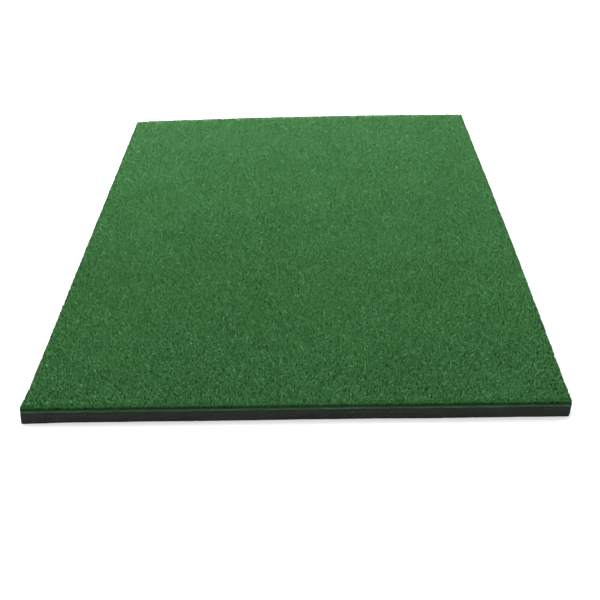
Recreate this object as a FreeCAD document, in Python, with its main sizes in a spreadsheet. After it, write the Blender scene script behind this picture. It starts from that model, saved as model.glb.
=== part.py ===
"""Golf hitting mat: a flat laminated slab of curled nylon turf on a thick foam base.

The slab lies flat. +Z is up through its thickness, Y runs along its long side and X
along its short side. The origin is the centre of the underside, on the ground.

From the ground up the laminate is: a thick closed-cell foam base, a hot-melt adhesive
film, a thin green foam interlayer, a second adhesive film, the latex precoat that locks
the tufts, the woven primary backing cloth, and the curled pile. Every layer is die-cut
to the same outline, a rectangle with small rounded corners.
"""

import FreeCAD, Part
import math
import os
import Sketcher

doc = FreeCAD.newDocument("hitting_mat")

# Driving dimensions, in millimetres.
sheet = doc.addObject("Spreadsheet::Sheet", "dims")
CELLS = [
    ("mat_width", 914),
    ("mat_length", 1219),
    ("corner_radius", 3),
    ("base_thickness", 21),
    ("film_thickness", 0.3),
    ("interlayer_thickness", 4),
    ("precoat_thickness", 0.7),
    ("cloth_thickness", 0.7),
    ("pile_height", 10),
    ("pile_edge_radius", 2.5),
]
for row, (alias, value) in enumerate(CELLS, start=1):
    sheet.set("A%d" % row, alias)
    sheet.set("B%d" % row, str(value))
    sheet.setAlias("B%d" % row, alias)
doc.recompute()


def origin_plane(body, role):
    """The body's own origin plane with this role."""
    for feature in body.Origin.OriginFeatures:
        if feature.Role == role:
            return feature
    raise RuntimeError("no plane " + role)


def rounded_outline(body, name):
    """A fully constrained rectangle with rounded corners, centred on the body's origin."""
    sketch = body.newObject("Sketcher::SketchObject", name)
    sketch.AttachmentSupport = [(origin_plane(body, "XY_Plane"), "")]
    sketch.MapMode = "FlatFace"
    half_x, half_y, r = 457.0, 609.5, 3.0
    v = FreeCAD.Vector
    z = v(0, 0, 1)
    corners = [
        (half_x - r, half_y - r, 0.0),
        (-half_x + r, half_y - r, 90.0),
        (-half_x + r, -half_y + r, 180.0),
        (half_x - r, -half_y + r, 270.0),
    ]
    # Arcs 0 to 3 run anticlockwise from the +X +Y corner.
    for cx, cy, start in corners:
        circle = Part.Circle(v(cx, cy, 0), z, r)
        sketch.addGeometry(
            Part.ArcOfCircle(circle, math.radians(start), math.radians(start + 90.0)),
            False,
        )
    # Lines 4 to 7 join the end of each arc to the start of the next.
    ends = [
        (v(half_x - r, half_y, 0), v(-half_x + r, half_y, 0)),
        (v(-half_x, half_y - r, 0), v(-half_x, -half_y + r, 0)),
        (v(-half_x + r, -half_y, 0), v(half_x - r, -half_y, 0)),
        (v(half_x, -half_y + r, 0), v(half_x, half_y - r, 0)),
    ]
    for a, b in ends:
        sketch.addGeometry(Part.LineSegment(a, b), False)

    add = sketch.addConstraint
    for i in range(4):
        add(Sketcher.Constraint("Tangent", i, 2, 4 + i, 1))
        add(Sketcher.Constraint("Tangent", 4 + i, 2, (i + 1) % 4, 1))
    add(Sketcher.Constraint("Horizontal", 4))
    add(Sketcher.Constraint("Vertical", 5))
    add(Sketcher.Constraint("Horizontal", 6))
    add(Sketcher.Constraint("Vertical", 7))
    for i in range(1, 4):
        add(Sketcher.Constraint("Equal", 0, i))
    # The centres of two opposite corners are symmetric about the origin.
    add(Sketcher.Constraint("Symmetric", 0, 3, 2, 3, -1, 1))
    width = add(Sketcher.Constraint("DistanceX", 5, 1, 7, 2, 2 * half_x))
    length = add(Sketcher.Constraint("DistanceY", 6, 1, 4, 2, 2 * half_y))
    radius = add(Sketcher.Constraint("Radius", 0, r))
    sketch.renameConstraint(width, "width")
    sketch.renameConstraint(length, "length")
    sketch.renameConstraint(radius, "radius")
    sketch.setExpression("Constraints.width", "dims.mat_width")
    sketch.setExpression("Constraints.length", "dims.mat_length")
    sketch.setExpression("Constraints.radius", "dims.corner_radius")
    return sketch


def slab(name, thickness, z_expression):
    """One layer of the laminate: the outline padded upwards by its thickness."""
    body = doc.addObject("PartDesign::Body", name)
    body.Label = name
    outline = rounded_outline(body, name + "_outline")
    doc.recompute()
    pad = body.newObject("PartDesign::Pad", name + "_pad")
    pad.Profile = outline
    pad.setExpression("Length", thickness)
    outline.Visibility = False
    body.Tip = pad
    if z_expression:
        body.setExpression("Placement.Base.z", z_expression)
    doc.recompute()
    return body, pad


# Layer heights, each written as the sum of the layers under it.
Z_FILM_1 = "dims.base_thickness"
Z_INTER = Z_FILM_1 + " + dims.film_thickness"
Z_FILM_2 = Z_INTER + " + dims.interlayer_thickness"
Z_PRECOAT = Z_FILM_2 + " + dims.film_thickness"
Z_CLOTH = Z_PRECOAT + " + dims.precoat_thickness"
Z_PILE = Z_CLOTH + " + dims.cloth_thickness"

layers = {}
layers["foam_base"], _ = slab("foam_base", "dims.base_thickness", None)
layers["lower_adhesive_film"], _ = slab(
    "lower_adhesive_film", "dims.film_thickness", Z_FILM_1
)
layers["green_foam_interlayer"], _ = slab(
    "green_foam_interlayer", "dims.interlayer_thickness", Z_INTER
)
layers["upper_adhesive_film"], _ = slab(
    "upper_adhesive_film", "dims.film_thickness", Z_FILM_2
)
layers["latex_precoat"], _ = slab("latex_precoat", "dims.precoat_thickness", Z_PRECOAT)
layers["primary_backing_cloth"], _ = slab(
    "primary_backing_cloth", "dims.cloth_thickness", Z_CLOTH
)
pile, pile_pad = slab("turf_pile", "dims.pile_height", Z_PILE)
layers["turf_pile"] = pile

# The pile leans outwards and drops at the cut edge, so its top edge is rounded all round.
top_height = max(e.BoundBox.ZMin for e in pile_pad.Shape.Edges)
top_edges = [
    "Edge%d" % (i + 1)
    for i, e in enumerate(pile_pad.Shape.Edges)
    if e.BoundBox.ZMin > top_height - 1e-6
]
roll = pile.newObject("PartDesign::Fillet", "turf_pile_edge_roll")
roll.Base = (pile_pad, top_edges)
roll.setExpression("Radius", "dims.pile_edge_radius")
pile.Tip = roll

doc.recompute()

# Every object has to be sound before anything is written.
for obj in doc.Objects:
    bad = [s for s in obj.State if s in ("Invalid", "Error")]
    if bad:
        raise RuntimeError("%s is %s" % (obj.Name, bad))

os.makedirs("parts", exist_ok=True)
total = 0.0
for name, body in layers.items():
    shape = body.Shape
    if shape.isNull() or not shape.isValid() or len(shape.Solids) != 1:
        raise RuntimeError("bad shape for " + name)
    box = shape.BoundBox
    print(
        "%-24s x %.1f  y %.1f  z %.2f to %.2f  volume %.0f"
        % (name, box.XLength, box.YLength, box.ZMin, box.ZMax, shape.Volume)
    )
    total += shape.Volume
    shape.exportStep("parts/%s.step" % name)
print("layers %d, volume %.4f m3" % (len(layers), total / 1e9))
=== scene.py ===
"""Golf hitting mat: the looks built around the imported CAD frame.

The CAD holds seven plain slabs. Each one is replaced here by a detailed piece: the foam
layers get die-cut, open-celled edges, the backing cloth gets a woven, frayed edge, and the
pile gets its separate curled nylon yarns.
"""

import bpy
import math
import numpy as np
from mathutils import Matrix, Vector
from mathutils.geometry import delaunay_2d_cdt


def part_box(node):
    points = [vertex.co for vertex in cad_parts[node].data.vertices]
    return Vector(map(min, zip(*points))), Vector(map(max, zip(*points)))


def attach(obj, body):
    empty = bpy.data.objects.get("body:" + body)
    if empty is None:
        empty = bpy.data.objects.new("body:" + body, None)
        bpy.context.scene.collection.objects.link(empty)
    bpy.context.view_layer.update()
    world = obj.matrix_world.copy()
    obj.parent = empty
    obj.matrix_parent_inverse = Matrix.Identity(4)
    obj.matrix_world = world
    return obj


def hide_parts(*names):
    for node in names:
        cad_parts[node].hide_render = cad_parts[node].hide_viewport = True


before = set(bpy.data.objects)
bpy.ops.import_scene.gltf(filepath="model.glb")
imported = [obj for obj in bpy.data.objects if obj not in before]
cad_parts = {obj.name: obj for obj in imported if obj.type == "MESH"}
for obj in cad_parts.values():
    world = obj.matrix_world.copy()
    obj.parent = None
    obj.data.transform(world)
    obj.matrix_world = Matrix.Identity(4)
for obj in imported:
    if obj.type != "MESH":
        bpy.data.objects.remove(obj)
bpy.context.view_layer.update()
SEED = 20260

# The mat's own sizes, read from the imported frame.
LO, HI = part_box("foam_base")
HALF_X, HALF_Y = (HI[0] - LO[0]) / 2, (HI[1] - LO[1]) / 2
CORNER = 0.003
Z = {name: (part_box(name)[0][2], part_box(name)[1][2]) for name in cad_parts}
PILE_LO, PILE_HI = Z["turf_pile"]


# ---------------------------------------------------------------- camera, floor and light

def make_camera():
    """A camera in front of the short side, above it, looking down at the mat."""
    yaw, pitch, roll = (math.radians(a) for a in (-1.169, 34.348, -1.498))
    ahead = Vector((math.sin(yaw) * math.cos(pitch), math.cos(yaw) * math.cos(pitch), -math.sin(pitch)))
    right = Vector((math.cos(yaw), -math.sin(yaw), 0.0))
    up = right.cross(ahead)
    c, s = math.cos(roll), math.sin(roll)
    right, up = c * right + s * up, -s * right + c * up
    data = bpy.data.cameras.new("camera")
    data.sensor_width = 36.0
    data.lens = 867.0 / 600.0 * 36.0
    data.clip_start, data.clip_end = 0.02, 100.0
    cam = bpy.data.objects.new("camera", data)
    cam.matrix_world = Matrix.Translation((0.0351, -1.6979, 0.9870)) @ Matrix((right, up, -ahead)).transposed().to_4x4()
    bpy.context.scene.collection.objects.link(cam)
    bpy.context.scene.camera = cam


def area_light(name, place, aim, size, power, colour):
    data = bpy.data.lights.new(name, "AREA")
    data.shape, data.size, data.size_y = "RECTANGLE", size[0], size[1]
    data.energy, data.color = power, colour
    ob = bpy.data.objects.new(name, data)
    ob.location = place
    ob.rotation_mode = "QUATERNION"
    ob.rotation_quaternion = (Vector(aim) - Vector(place)).to_track_quat("-Z", "Y")
    bpy.context.scene.collection.objects.link(ob)


def make_stage():
    """A pale floor, a pale sky and one large soft lamp over the far half."""
    mat = bpy.data.materials.new("floor_paint")
    mat.use_nodes = True
    nt = mat.node_tree
    p = nt.nodes["Principled BSDF"]
    p.inputs["Roughness"].default_value = 0.9
    p.inputs["Specular IOR Level"].default_value = 0.1
    noise = nt.nodes.new("ShaderNodeTexNoise")
    noise.inputs["Scale"].default_value = 1.5
    ramp = nt.nodes.new("ShaderNodeMapRange")
    ramp.inputs["To Min"].default_value, ramp.inputs["To Max"].default_value = 0.90, 0.93
    both = nt.nodes.new("ShaderNodeCombineColor")
    coord = nt.nodes.new("ShaderNodeTexCoord")
    nt.links.new(coord.outputs["Object"], noise.inputs["Vector"])
    nt.links.new(noise.outputs["Fac"], ramp.inputs["Value"])
    for k in ("Red", "Green", "Blue"):
        nt.links.new(ramp.outputs["Result"], both.inputs[k])
    nt.links.new(both.outputs["Color"], p.inputs["Base Color"])
    me = bpy.data.meshes.new("floor")
    r = 30.0
    me.from_pydata([(-r, -r, -0.0002), (r, -r, -0.0002), (r, r, -0.0002), (-r, r, -0.0002)], [], [(0, 1, 2, 3)])
    ob = bpy.data.objects.new("floor", me)
    ob.data.materials.append(mat)
    bpy.context.scene.collection.objects.link(ob)

    world = bpy.data.worlds.new("studio")
    bpy.context.scene.world = world
    world.use_nodes = True
    bg = world.node_tree.nodes["Background"]
    bg.inputs["Color"].default_value = (1.0, 1.0, 1.0, 1.0)
    bg.inputs["Strength"].default_value = 1.35
    area_light("key", (-0.35, 0.55, 1.5), (-0.15, 0.35, 0), (1.6, 1.2), 60.0, (1.0, 0.99, 0.98))
    scene = bpy.context.scene
    scene.view_settings.view_transform = "Standard"
    scene.view_settings.look = "None"
    scene.view_settings.exposure = 0.0
    scene.view_settings.gamma = 1.0


# ---------------------------------------------------------------- seeded noise in numpy

def lattice(seed, *cells):
    return np.random.default_rng(SEED + seed).random(cells)


def noise1(x, seed, period=None):
    """Smooth noise from -1 to 1 along a line, or around a loop of the given whole period."""
    n = period or 4096
    table = lattice(seed, n) * 2 - 1
    i = np.floor(x).astype(int)
    f = x - i
    f = f * f * (3 - 2 * f)
    return table[i % n] * (1 - f) + table[(i + 1) % n] * f


def noise2(x, y, seed, n=512):
    """Smooth noise from -1 to 1 over a plane."""
    table = lattice(seed, n, n) * 2 - 1
    i, j = np.floor(x).astype(int), np.floor(y).astype(int)
    f, g = x - i, y - j
    f, g = f * f * (3 - 2 * f), g * g * (3 - 2 * g)
    i0, i1, j0, j1 = i % n, (i + 1) % n, j % n, (j + 1) % n
    return (table[i0, j0] * (1 - f) + table[i1, j0] * f) * (1 - g) + (table[i0, j1] * (1 - f) + table[i1, j1] * f) * g


# ---------------------------------------------------------------- the laminate's outline

def outline(pitch, half_x=HALF_X, half_y=HALF_Y, r=CORNER):
    """Points, outward normals and arc lengths once round the mat's rounded rectangle."""
    pts, nor, arc = [], [], []
    walked = 0.0
    arms = [((half_x - r, half_y - r), 0), ((-half_x + r, half_y - r), 90), ((-half_x + r, -half_y + r), 180), ((half_x - r, -half_y + r), 270)]
    for k, ((cx, cy), start) in enumerate(arms):
        turns = 6
        for a in np.radians(start + np.arange(turns) * 90.0 / turns):
            pts.append((cx + r * math.cos(a), cy + r * math.sin(a)))
            nor.append((math.cos(a), math.sin(a)))
            arc.append(walked)
            walked += r * math.pi / 2 / turns
        a = math.radians(start + 90)
        n = (math.cos(a), math.sin(a))
        along = (-n[1], n[0])
        length = 2 * (half_x - r) if k in (0, 2) else 2 * (half_y - r)
        steps = max(2, round(length / pitch))
        for i in range(steps):
            q = i * length / steps
            pts.append((cx + r * n[0] + along[0] * q, cy + r * n[1] + along[1] * q))
            nor.append(n)
            arc.append(walked + q)
        walked += length
    return np.array(pts), np.array(nor), np.array(arc), walked


def as_cut(verts):
    """The mat is not a perfect rectangle: its far edge is cut slightly bowed, its right side
    bellies out a little, and its near corners spread under the pile."""
    v = np.array(verts, float)
    x, y, z = v[:, 0], v[:, 1], v[:, 2]
    far = np.clip((y + 0.1) / (HALF_Y + 0.1), 0, 1)
    far = far * far * (3 - 2 * far)
    bow_left = np.clip((0.06 - x) / (HALF_X + 0.06), 0, 1) ** 1.9
    bow_right = np.clip((x - 0.16) / (HALF_X - 0.16), 0, 1) ** 2
    dy = far * (0.004 - 0.016 * bow_left - 0.006 * bow_right)
    right = np.clip((x - 0.05) / (HALF_X - 0.05), 0, 1) ** 2
    dx = right * 0.0022 * np.cos(math.pi * (y + 0.15) / 0.85)
    near = np.exp(-((y + HALF_Y) / (0.028 + 0.040 * np.clip((0.034 - z) / 0.010, 0, 1))) ** 2)
    near_left, near_right = near * np.exp(-((x + HALF_X) / 0.05) ** 2), near * np.exp(-((x - HALF_X) / 0.05) ** 2)
    skirt, foot = np.clip((0.040 - z) / 0.013, 0, 1), np.clip(1 - z / 0.024, 0, 1)
    v[:, 0] = x + dx - near_left * (0.0042 * skirt + 0.0016 * foot) + near_right * (0.0020 * skirt - 0.0014 * foot)
    v[:, 1] = y + dy - near_left * 0.0022 * np.clip(1 - z / 0.036, 0, 1)
    return v


def mesh_of(name, verts, quads, tris=(), smooth=True):
    """A mesh object from arrays of vertices, quads and triangles."""
    verts = as_cut(verts)
    me = bpy.data.meshes.new(name)
    quads, tris = np.asarray(quads, np.int32).reshape(-1, 4), np.asarray(tris, np.int32).reshape(-1, 3)
    loops = np.concatenate([quads.ravel(), tris.ravel()])
    starts = np.concatenate([np.arange(len(quads)) * 4, len(quads) * 4 + np.arange(len(tris)) * 3])
    me.vertices.add(len(verts))
    me.vertices.foreach_set("co", np.ascontiguousarray(verts, np.float32).ravel())
    me.loops.add(len(loops))
    me.loops.foreach_set("vertex_index", loops.astype(np.int32))
    me.polygons.add(len(starts))
    me.polygons.foreach_set("loop_start", starts.astype(np.int32))
    me.polygons.foreach_set("use_smooth", np.full(len(starts), smooth))
    me.update(calc_edges=True)
    ob = bpy.data.objects.new(name, me)
    bpy.context.scene.collection.objects.link(ob)
    return ob


def cap_mesh(pts, pitch):
    """Triangles that fill the outline, with a loose grid of points inside."""
    xs = np.arange(-HALF_X + pitch, HALF_X - pitch * 0.6, pitch)
    ys = np.arange(-HALF_Y + pitch, HALF_Y - pitch * 0.6, pitch)
    gx, gy = np.meshgrid(xs, ys)
    rng = np.random.default_rng(SEED + 77)
    inner = np.stack([gx.ravel(), gy.ravel()], 1) + rng.uniform(-0.2, 0.2, (gx.size, 2)) * pitch
    every = np.concatenate([pts, inner])
    n = len(pts)
    out = delaunay_2d_cdt([Vector(p) for p in every], [(i, (i + 1) % n) for i in range(n)], [], 1, 1e-6)
    made, tris, origin = out[0], out[2], out[3]
    if len(made) != len(every):
        raise RuntimeError("the cap gained points")
    back = [o[0] for o in origin]
    tris = np.array([[back[i] for i in t] for t in tris if len(t) == 3])
    a, b, c = (every[tris[:, k]] for k in range(3))
    turn = (b[:, 0] - a[:, 0]) * (c[:, 1] - a[:, 1]) - (b[:, 1] - a[:, 1]) * (c[:, 0] - a[:, 0])
    tris[turn < 0] = tris[turn < 0][:, ::-1]
    return inner, tris


PTS, NOR, ARC, ROUND = outline(0.0022)
INNER, CAP = cap_mesh(PTS, 0.03)
COLS = len(PTS)


def slab(name, z, rows, push, lift=None):
    """A closed slab: rows are heights from 0 to 1, and push gives each column's outward move
    at each row in metres, from its arc length and height."""
    zlo, zhi = z
    rows = np.asarray(rows, float)
    layers = []
    for j, h in enumerate(rows):
        out = push(ARC, h, zlo + (zhi - zlo) * h)
        xy = PTS + NOR * out[:, None]
        zz = np.full(COLS, zlo + (zhi - zlo) * h)
        if lift is not None:
            zz = zz + lift(ARC, h)
        layers.append(np.column_stack([xy, zz]))
    verts = np.concatenate(layers)
    i = np.arange(COLS)
    n = (i + 1) % COLS
    quads = [np.stack([j * COLS + i, j * COLS + n, (j + 1) * COLS + n, (j + 1) * COLS + i], 1) for j in range(len(rows) - 1)]
    base = len(verts)
    low = np.column_stack([INNER, np.full(len(INNER), zlo)])
    high = np.column_stack([INNER, np.full(len(INNER), zhi)])
    verts = np.concatenate([verts, low, high])
    bottom = np.where(CAP < COLS, CAP, CAP - COLS + base)[:, ::-1]
    top = np.where(CAP < COLS, CAP + (len(rows) - 1) * COLS, CAP - COLS + base + len(INNER))
    return mesh_of(name, verts, np.concatenate(quads), np.concatenate([bottom, top]))


# ---------------------------------------------------------------- materials

class Nodes:
    """A short way to write a procedural material."""

    def __init__(self, name):
        self.mat = bpy.data.materials.new(name)
        self.mat.use_nodes = True
        self.nt = self.mat.node_tree
        self.p = self.nt.nodes["Principled BSDF"]
        self.coord = self.nt.nodes.new("ShaderNodeTexCoord").outputs["Object"]

    def set(self, **values):
        for k, v in values.items():
            self.p.inputs[k.replace("_", " ")].default_value = v

    def link(self, a, b):
        self.nt.links.new(a, b)

    def noise(self, scale, detail=2.0, rough=0.5, stretch=(1, 1, 1)):
        n = self.nt.nodes.new("ShaderNodeTexNoise")
        n.inputs["Scale"].default_value = scale
        n.inputs["Detail"].default_value = detail
        n.inputs["Roughness"].default_value = rough
        self.link(self.mapped(stretch), n.inputs["Vector"])
        return n.outputs["Fac"]

    def cells(self, scale, feature="F1", stretch=(1, 1, 1), out="Distance"):
        n = self.nt.nodes.new("ShaderNodeTexVoronoi")
        n.feature = feature
        n.inputs["Scale"].default_value = scale
        self.link(self.mapped(stretch), n.inputs["Vector"])
        return n.outputs[out]

    def mapped(self, stretch):
        if tuple(stretch) == (1, 1, 1):
            return self.coord
        n = self.nt.nodes.new("ShaderNodeMapping")
        n.inputs["Scale"].default_value = stretch
        self.link(self.coord, n.inputs["Vector"])
        return n.outputs["Vector"]

    def ramp(self, value, stops):
        n = self.nt.nodes.new("ShaderNodeValToRGB")
        self.link(value, n.inputs["Fac"])
        e = n.color_ramp.elements
        while len(e) < len(stops):
            e.new(0.5)
        for k, (at, colour) in enumerate(stops):
            e[k].position = at
            e[k].color = (*colour, 1.0)
        return n.outputs["Color"]

    def span(self, value, a, b, c, d):
        n = self.nt.nodes.new("ShaderNodeMapRange")
        n.inputs["From Min"].default_value, n.inputs["From Max"].default_value = a, b
        n.inputs["To Min"].default_value, n.inputs["To Max"].default_value = c, d
        self.link(value, n.inputs["Value"])
        return n.outputs["Result"]

    def math(self, op, a, b=None):
        n = self.nt.nodes.new("ShaderNodeMath")
        n.operation = op
        for k, v in enumerate((a, b)):
            if v is None:
                continue
            if isinstance(v, (int, float)):
                n.inputs[k].default_value = v
            else:
                self.link(v, n.inputs[k])
        return n.outputs[0]

    def mix(self, a, b, fac, mode="MIX"):
        n = self.nt.nodes.new("ShaderNodeMix")
        n.data_type, n.blend_type = "RGBA", mode
        for key, v in (("Factor", fac), ("A", a), ("B", b)):
            sock = next(s for s in n.inputs if s.name == key and s.type == ("VALUE" if key == "Factor" else "RGBA"))
            if isinstance(v, (int, float)):
                sock.default_value = v
            elif isinstance(v, tuple):
                sock.default_value = (*v, 1.0)
            else:
                self.link(v, sock)
        return next(s for s in n.outputs if s.type == "RGBA")

    def height(self):
        n = self.nt.nodes.new("ShaderNodeSeparateXYZ")
        self.link(self.coord, n.inputs[0])
        return n.outputs["Z"]

    def bump(self, value, strength, distance):
        n = self.nt.nodes.new("ShaderNodeBump")
        n.inputs["Strength"].default_value = strength
        n.inputs["Distance"].default_value = distance
        self.link(value, n.inputs["Height"])
        self.link(n.outputs["Normal"], self.p.inputs["Normal"])

    def colour(self, socket):
        self.link(socket, self.p.inputs["Base Color"])

    def rough(self, socket):
        self.link(socket, self.p.inputs["Roughness"])


def black_foam():
    """Cut closed-cell foam: near black, with paler broken cells and faint saw lines."""
    m = Nodes("black_cellular_foam")
    m.set(Specular_IOR_Level=0.12)
    fine = m.cells(1000.0)
    grain = m.noise(880.0, 1.0, 0.5)
    patch = m.noise(60.0, 3.0)
    lines = m.noise(14.0, 2.0, 0.6, (1, 1, 26))
    base = m.ramp(patch, [(0.3, (0.0085, 0.0102, 0.0083)), (0.7, (0.0145, 0.0171, 0.0136))])
    speck = m.ramp(fine, [(0.0, (2.6, 2.7, 2.9)), (0.24, (1.0, 1.0, 1.0)), (1.0, (0.66, 0.66, 0.66))])
    col = m.mix(base, speck, 1.0, "MULTIPLY")
    crumbs = m.ramp(grain, [(0.0, (0.45, 0.45, 0.46)), (0.42, (0.72, 0.72, 0.73)), (0.56, (1.05, 1.05, 1.05)), (0.70, (2.3, 2.35, 2.45)), (1.0, (2.8, 2.85, 3.0))])
    col = m.mix(col, crumbs, 1.0, "MULTIPLY")
    col = m.mix(col, m.ramp(lines, [(0.3, (0.8, 0.8, 0.8)), (0.7, (1.22, 1.22, 1.2))]), 1.0, "MULTIPLY")
    # Darker towards the bottom, and tinted green towards the top.
    level = m.span(m.height(), 0.0, Z["foam_base"][1], 0.0, 1.0)
    level = m.math("ADD", level, m.span(m.noise(90.0, 2.0), 0.3, 0.7, -0.05, 0.05))
    col = m.mix(col, m.ramp(level, [(0.0, (0.72, 0.72, 0.70)), (0.12, (1.0, 1.0, 0.98)), (0.62, (1.0, 1.0, 1.0)), (0.84, (0.86, 1.18, 0.92)), (1.0, (0.80, 1.22, 0.90))]), 1.0, "MULTIPLY")
    m.colour(col)
    m.rough(m.span(patch, 0.2, 0.8, 0.72, 0.92))
    m.bump(m.math("ADD", m.math("ADD", fine, m.math("MULTIPLY", grain, 1.4)), m.math("MULTIPLY", lines, 0.5)), 0.7, 0.0006)
    return m.mat


def green_foam():
    """Cut teal-green foam sheet, slightly soiled along the cut."""
    m = Nodes("green_cellular_foam")
    m.set(Specular_IOR_Level=0.15)
    fine = m.cells(1300.0)
    soil = m.noise(45.0, 4.0, 0.6)
    base = m.ramp(soil, [(0.25, (0.0129, 0.0292, 0.0150)), (0.55, (0.0206, 0.0456, 0.0236)), (0.8, (0.0318, 0.0671, 0.0355))])
    col = m.mix(base, m.ramp(fine, [(0.0, (1.45, 1.45, 1.45)), (0.5, (0.92, 0.92, 0.92)), (1.0, (0.70, 0.70, 0.70))]), 1.0, "MULTIPLY")
    streak = m.noise(40.0, 3.0, 0.6, (1, 1, 14))
    col = m.mix(col, m.ramp(streak, [(0.32, (0.70, 0.72, 0.72)), (0.5, (1.0, 1.0, 1.0)), (0.72, (1.45, 1.40, 1.42))]), 1.0, "MULTIPLY")
    m.colour(col)
    m.rough(m.span(soil, 0.2, 0.8, 0.65, 0.85))
    m.bump(m.math("ADD", fine, streak), 0.5, 0.0003)
    return m.mat


def hot_melt():
    """Half-clear adhesive that has picked up the colour of the layers it joins."""
    m = Nodes("hot_melt_film")
    m.set(Specular_IOR_Level=0.25)
    blotch = m.noise(70.0, 3.0)
    m.colour(m.ramp(blotch, [(0.3, (0.006, 0.0155, 0.0069)), (0.7, (0.012, 0.0275, 0.0129))]))
    m.rough(m.span(blotch, 0.2, 0.8, 0.35, 0.6))
    m.bump(m.noise(400.0, 2.0), 0.3, 0.0002)
    return m.mat


def latex():
    """Rubbery precoat with small bubbles."""
    m = Nodes("latex_coat")
    m.set(Specular_IOR_Level=0.15)
    bubble = m.cells(700.0)
    blotch = m.noise(50.0, 3.0)
    m.colour(m.ramp(blotch, [(0.3, (0.0052, 0.0155, 0.006)), (0.7, (0.0103, 0.0292, 0.0112))]))
    m.rough(m.span(blotch, 0.2, 0.8, 0.55, 0.8))
    m.bump(bubble, 0.4, 0.0003)
    return m.mat


def weave_cloth():
    """Woven tape cloth: warp and weft tapes 1.6 mm apart, dark green."""
    m = Nodes("woven_backing")
    m.set(Specular_IOR_Level=0.15)
    n1 = m.nt.nodes.new("ShaderNodeTexWave")
    n1.bands_direction = "X"
    n1.inputs["Scale"].default_value = 98.0
    n2 = m.nt.nodes.new("ShaderNodeTexWave")
    n2.bands_direction = "Y"
    n2.inputs["Scale"].default_value = 98.0
    for n in (n1, n2):
        n.inputs["Distortion"].default_value = 0.6
        m.link(m.coord, n.inputs["Vector"])
    weave = m.math("MAXIMUM", n1.outputs["Fac"], n2.outputs["Fac"])
    wear = m.noise(30.0, 3.0)
    base = m.ramp(weave, [(0.0, (0.0034, 0.012, 0.0043)), (1.0, (0.0103, 0.0413, 0.012))])
    m.colour(m.mix(base, m.ramp(wear, [(0.3, (0.7, 0.7, 0.7)), (0.7, (1.2, 1.2, 1.2))]), 1.0, "MULTIPLY"))
    m.rough(m.span(wear, 0.2, 0.8, 0.6, 0.85))
    m.bump(weave, 0.6, 0.0004)
    return m.mat


def turf_yarn():
    """Curled nylon yarn: painted shade makes it dark at the root, lighter and duller towards
    the tip; no two yarns quite the same green, and a soft mottle over the whole mat."""
    m = Nodes("curled_nylon_yarn")
    up = m.span(m.height(), PILE_LO + 0.0005, PILE_HI - 0.0012, 0.0, 1.0)
    # Painted shade: the colour darkens down towards the roots, where shade falls between the yarns, and is lightest at
    # the lit tips.
    col = m.ramp(up, [(0.0, (0.015, 0.065, 0.016)), (0.34, (0.0418, 0.174, 0.0433)), (0.62, (0.0660, 0.240, 0.0685)), (1.0, (0.0808, 0.2715, 0.0850))])
    # Round the cut edge, painted shade darkens the yarns to nearly black at the roots and dims their tips.
    cut = m.nt.nodes.new("ShaderNodeAttribute")
    cut.attribute_name = "cut"
    painted_edge_shade = m.ramp(up, [(0.0, (0.24, 0.32, 0.26)), (0.50, (0.25, 0.33, 0.27)), (0.80, (0.42, 0.52, 0.42)), (1.0, (0.66, 0.75, 0.66))])
    col = m.mix(col, m.mix((1.0, 1.0, 1.0), painted_edge_shade, cut.outputs["Fac"]), 1.0, "MULTIPLY")
    geo = m.nt.nodes.new("ShaderNodeNewGeometry")
    each = m.ramp(geo.outputs["Random Per Island"], [(0.0, (0.68, 0.95, 0.69)), (0.4, (0.92, 0.985, 0.93)), (0.8, (1.10, 1.02, 1.12)), (1.0, (1.55, 1.07, 1.60))])
    col = m.mix(col, each, 1.0, "MULTIPLY")
    m.link(m.span(cut.outputs["Fac"], 0.0, 1.0, 0.42, 0.08), m.p.inputs["Specular IOR Level"])
    clump = m.ramp(m.noise(95.0, 2.0, 0.6), [(0.30, (0.93, 0.955, 0.93)), (0.70, (1.07, 1.045, 1.07))])
    col = m.mix(col, clump, 1.0, "MULTIPLY")
    broad = m.ramp(m.noise(7.0, 3.0, 0.55), [(0.30, (0.93, 0.95, 0.92)), (0.70, (1.06, 1.05, 1.07))])
    col = m.mix(col, broad, 1.0, "MULTIPLY")
    m.colour(col)
    m.rough(m.span(m.noise(120.0, 1.0), 0.25, 0.75, 0.50, 0.64))
    return m.mat


# ---------------------------------------------------------------- the laminated layers

def smooth_cut(s, seed, amp, wave):
    cells = max(8, round(ROUND / wave))
    return amp * noise1(s / ROUND * cells, seed, cells)


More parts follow.
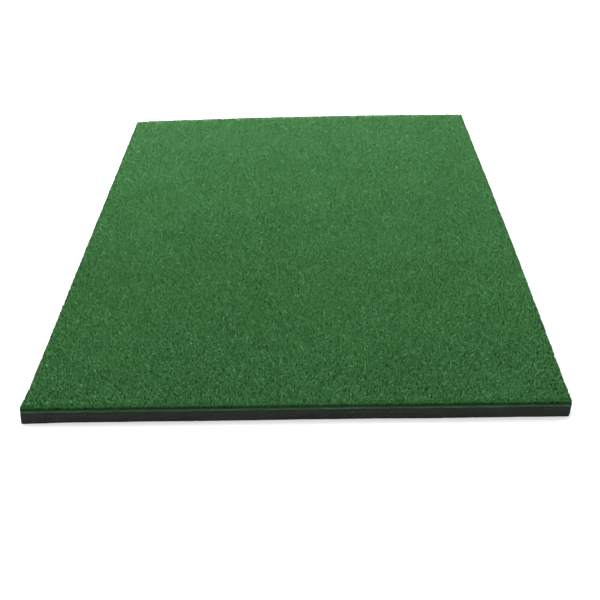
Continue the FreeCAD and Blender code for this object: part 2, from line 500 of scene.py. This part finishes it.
def build_layers():
    foam = black_foam()
    big = lambda s: smooth_cut(s, 1, 0.0007, 0.16) + smooth_cut(s, 2, 0.0003, 0.045)

    def base_push(s, h, z):
        edge = min(h, 1 - h) * (Z["foam_base"][1] - Z["foam_base"][0])
        roll = -0.0006 * max(0.0, 1 - edge / 0.0010) ** 2 * (1.0 if h > 0.5 else 0.35)
        saw = 0.00012 * math.sin(z * 2600.0) + 0.0001 * noise2(s * 30, np.full_like(s, z * 900), 5)
        pits = noise2(s / 0.0034, np.full_like(s, z / 0.0026), 6)
        bite = -0.00045 * np.clip(pits - 0.45, 0, 1) / 0.55
        belly = 0.0004 * math.sin(math.pi * h)
        return np.minimum(big(s) - 0.0003 + roll + saw + bite + belly + 0.0006 * (1 - h), 0.0010)

    rows = np.concatenate([[0, 0.02, 0.055], np.linspace(0.1, 0.9, 13), [0.945, 0.98, 1]])
    piece = slab("foam_base_slab", Z["foam_base"], rows, base_push)
    piece.data.materials.append(foam)
    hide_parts("foam_base")
    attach(piece, "root")

    def film(name, node, seed, mat, amp=0.0003, inset=0.0006):
        def push(s, h, z):
            return big(s) - inset - 0.0006 + smooth_cut(s, seed, amp, 0.012) + smooth_cut(s, seed + 1, amp * 0.6, 0.005)
        ob = slab(name, Z[node], [0, 0.5, 1], push)
        ob.data.materials.append(mat)
        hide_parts(node)
        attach(ob, "root")
        return ob

    glue = hot_melt()
    lower = film("lower_glue_film", "lower_adhesive_film", 21, glue)
    upper = film("upper_glue_film", "upper_adhesive_film", 31, glue)
    coat = film("latex_coat", "latex_precoat", 41, latex(), amp=0.0004, inset=0.0004)

    def inter_push(s, h, z):
        roll = -0.0005 * (2 * abs(h - 0.5)) ** 4
        return np.minimum(big(s) - 0.0002 + roll + smooth_cut(s, 11, 0.0005, 0.02) + smooth_cut(s, 12, 0.0002, 0.006) + 0.0002 * noise2(s / 0.003, np.full_like(s, z / 0.0015), 13), 0.0007)

    inter = slab("green_foam_sheet", Z["green_foam_interlayer"], [0, 0.12, 0.3, 0.5, 0.7, 0.88, 1], inter_push)
    inter.data.materials.append(green_foam())
    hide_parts("green_foam_interlayer")
    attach(inter, "root")

    def cloth_push(s, h, z):
        return big(s) - 0.0006 + smooth_cut(s, 51, 0.0005, 0.008) + smooth_cut(s, 52, 0.0003, 0.0045)

    cloth = slab("woven_backing_cloth", Z["primary_backing_cloth"], [0, 0.5, 1], cloth_push)
    cloth.data.materials.append(weave_cloth())
    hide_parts("primary_backing_cloth")
    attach(cloth, "root")
    return lower, upper, coat, cloth


# ---------------------------------------------------------------- the curled pile

SEGMENTS = 5
PATCH_X, PATCH_Y = 4, 5
LEVELS = 3


def tuft_places(rng):
    """Where the tufts stand: stitched rows, each tuft loosely placed in its cell."""
    nx, ny = 294, 392
    cx, cy = 2 * HALF_X / nx, 2 * HALF_Y / ny
    i, j = np.meshgrid(np.arange(nx), np.arange(ny), indexing="ij")
    x = -HALF_X + (i + 0.5 + rng.uniform(-0.42, 0.42, i.shape)) * cx
    y = -HALF_Y + (j + 0.5 + rng.uniform(-0.42, 0.42, i.shape)) * cy
    return np.stack([x.ravel(), y.ravel()], 1)


def rim_places(rng):
    """Yarns cut by the trimming knife: two close rows that follow the outline."""
    spots = []
    for inset, pitch in ((0.0009, 0.0011), (0.0019, 0.0014)):
        pts, nor, arc, length = outline(pitch)
        spots.append(pts - nor * inset + rng.normal(0, 0.00025, pts.shape))
    return np.concatenate(spots)


def trimmed(v, half, start=0.0008, reach=0.0014):
    """Coordinates eased back so that nothing passes the cut by more than a hair."""
    past = np.abs(v) - (half - start)
    return np.where(past > 0, np.sign(v) * (half - start + reach * np.tanh(past / reach)), v)


def grow(rng):
    """The centre lines, widths and side directions of every yarn, as arrays."""
    tufts = tuft_places(rng)
    per = rng.choice([2, 3, 4], len(tufts), p=[0.42, 0.44, 0.14])
    owner = np.repeat(np.arange(len(tufts)), per)
    root = tufts[owner] + rng.normal(0, 0.0006, (len(owner), 2))
    root = np.concatenate([root, rim_places(rng)])
    n = len(root)
    rim = np.arange(n) >= len(owner)
    lean_dir = rng.uniform(0, 2 * np.pi, n)
    lean = rng.gamma(2.4, 0.0011, n).clip(0.0002, 0.0056) * np.where(rim, 0.7, 1.0)
    side_x, side_y = HALF_X - np.abs(root[:, 0]), HALF_Y - np.abs(root[:, 1])
    edge = np.minimum(side_x, side_y).clip(0, None)
    root[:, 0] = root[:, 0].clip(-HALF_X + 0.0009, HALF_X - 0.0009)
    root[:, 1] = root[:, 1].clip(-HALF_Y + 0.0009, HALF_Y - 0.0009)
    # At the cut edge the pile rounds over: the outermost yarns lie lower and lean in a little.
    out = np.stack([-np.sign(root[:, 0]) * np.clip(1 - side_x / 0.006, 0, 1) * 0.0007, -np.sign(root[:, 1]) * np.clip(1 - side_y / 0.006, 0, 1) * 0.0004], 1)
    fall = 0.0038 * np.clip(1 - side_x / 0.006, 0, 1) ** 1.4 + 0.0018 * np.clip(1 - side_y / 0.006, 0, 1) ** 1.4
    clump = 0.5 + 0.5 * noise2(root[:, 0] / 0.011 + 60, root[:, 1] / 0.011 + 60, 61)
    height = (rng.normal(0.0090, 0.0005, n).clip(0.0070, 0.0101) + 0.0005 * (clump - 0.5) - fall).clip(0.0036, None)
    bent = noise2(root[:, 0] / 0.02 + 80, root[:, 1] / 0.02 + 80, 62), noise2(root[:, 0] / 0.02 + 80, root[:, 1] / 0.02 + 80, 63)
    t = np.linspace(0, 1, SEGMENTS + 1)[None, :]
    turns = rng.uniform(0.7, 1.5, n)[:, None] * rng.choice([-1, 1], n)[:, None]
    phase = rng.uniform(0, 2 * np.pi, n)[:, None]
    size = (rng.uniform(0.0010, 0.0019, n) * np.where(rim, 0.75, 1.0))[:, None] * (0.10 + 1.05 * t ** 1.3)
    flat = rng.uniform(0.45, 1.0, n)[:, None]
    tilt = rng.uniform(0, 2 * np.pi, n)[:, None]
    a = phase + 2 * np.pi * turns * t
    cu, cv = np.cos(a) - np.cos(phase), (np.sin(a) - np.sin(phase)) * flat
    curl_x = size * (np.cos(tilt) * cu - np.sin(tilt) * cv)
    curl_y = size * (np.sin(tilt) * cu + np.cos(tilt) * cv)
    away = t ** 1.5
    x = root[:, :1] + curl_x + (np.cos(lean_dir)[:, None] * lean[:, None] + 0.0012 * bent[0][:, None] + out[:, :1]) * away
    y = root[:, 1:] + curl_y + (np.sin(lean_dir)[:, None] * lean[:, None] + 0.0012 * bent[1][:, None] + out[:, 1:]) * away
    # Some yarns hook over near the top, which makes the closed, curly surface.
    hook = rng.uniform(0.0, 1.0, n)[:, None]
    rise = np.sin(t * (1.0 + 0.62 * hook) * np.pi / 2)
    z = PILE_LO + 0.0001 + height[:, None] * rise
    # The mat is trimmed after tufting, so no yarn reaches far past the outline.
    x, y = trimmed(x, HALF_X), trimmed(y, HALF_Y)
    z = z.clip(PILE_LO, PILE_HI + 0.0006)
    c = np.stack([x, y, z], 2)
    tangent = np.gradient(c, axis=1)
    tangent /= np.linalg.norm(tangent, axis=2, keepdims=True).clip(1e-9)
    spin = rng.uniform(0, 2 * np.pi, n)[:, None] + t * rng.uniform(-2.4, 2.4, n)[:, None]
    ref = np.stack([np.cos(spin), np.sin(spin), 0.25 * np.sin(spin * 2)], 2)
    side = np.cross(tangent, ref)
    side /= np.linalg.norm(side, axis=2, keepdims=True).clip(1e-9)
    width = rng.uniform(0.00040, 0.00058, n)[:, None] * (1.0 - 0.34 * t)
    # The last array is each yarn's nearness to the cut edge, which the yarn material uses for its painted edge shade.
    return root, c, side * width[:, :, None], np.clip(1.18 - edge / 0.0060, 0, 1)


def build_pile():
    rng = np.random.default_rng(SEED)
    root, c, half, cut = grow(rng)
    yarn = turf_yarn()
    gx = ((root[:, 0] + HALF_X) / (2 * HALF_X) * PATCH_X).astype(int).clip(0, PATCH_X - 1)
    gy = ((root[:, 1] + HALF_Y) / (2 * HALF_Y) * PATCH_Y).astype(int).clip(0, PATCH_Y - 1)
    made = []
    for px in range(PATCH_X):
        for py in range(PATCH_Y):
            pick = (gx == px) & (gy == py)
            cc, hh, near_cut = c[pick], half[pick], cut[pick]
            n = len(cc)
            verts = np.stack([cc - hh, cc + hh], 2).reshape(-1, 3)
            start = (np.arange(n) * (SEGMENTS + 1) * 2)[:, None] + np.arange(SEGMENTS)[None] * 2
            quads = np.stack([start, start + 1, start + 3, start + 2], 2).reshape(-1, 4)
            name = f"turf_pile_{chr(97 + px)}{py + 1}"
            ob = mesh_of(name, verts, quads)
            ob.data.materials.append(yarn)
            # The cut attribute carries each yarn's nearness to the cut edge to the yarn material, for its painted edge
            # shade.
            ob.data.attributes.new("cut", "FLOAT", "POINT").data.foreach_set("value", np.repeat(near_cut, (SEGMENTS + 1) * 2).astype(np.float32))
            # The yarns share one flat layout: where each stands on the mat, in one band for each level of its height.
            lo = np.array([-HALF_X + px * 2 * HALF_X / PATCH_X, -HALF_Y + py * 2 * HALF_Y / PATCH_Y])
            span = np.array([2 * HALF_X / PATCH_X, 2 * HALF_Y / PATCH_Y])
            flat = ((verts[:, :2] - lo) / span).clip(0, 1) * 0.96 + 0.02
            loop_uv = flat[quads.ravel()].reshape(n, SEGMENTS, 4, 2)
            level = (np.arange(SEGMENTS) * LEVELS // SEGMENTS)[None, :, None]
            loop_uv[..., 1] = (loop_uv[..., 1] + level) / LEVELS
            layer = ob.data.uv_layers.new(name="OFBake")
            layer.data.foreach_set("uv", loop_uv.astype(np.float32).ravel())
            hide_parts("turf_pile")
            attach(ob, "root")
            made.append(ob)
    return made


make_camera()
make_stage()
lower, upper, coat, cloth = build_layers()
pile = build_pile()
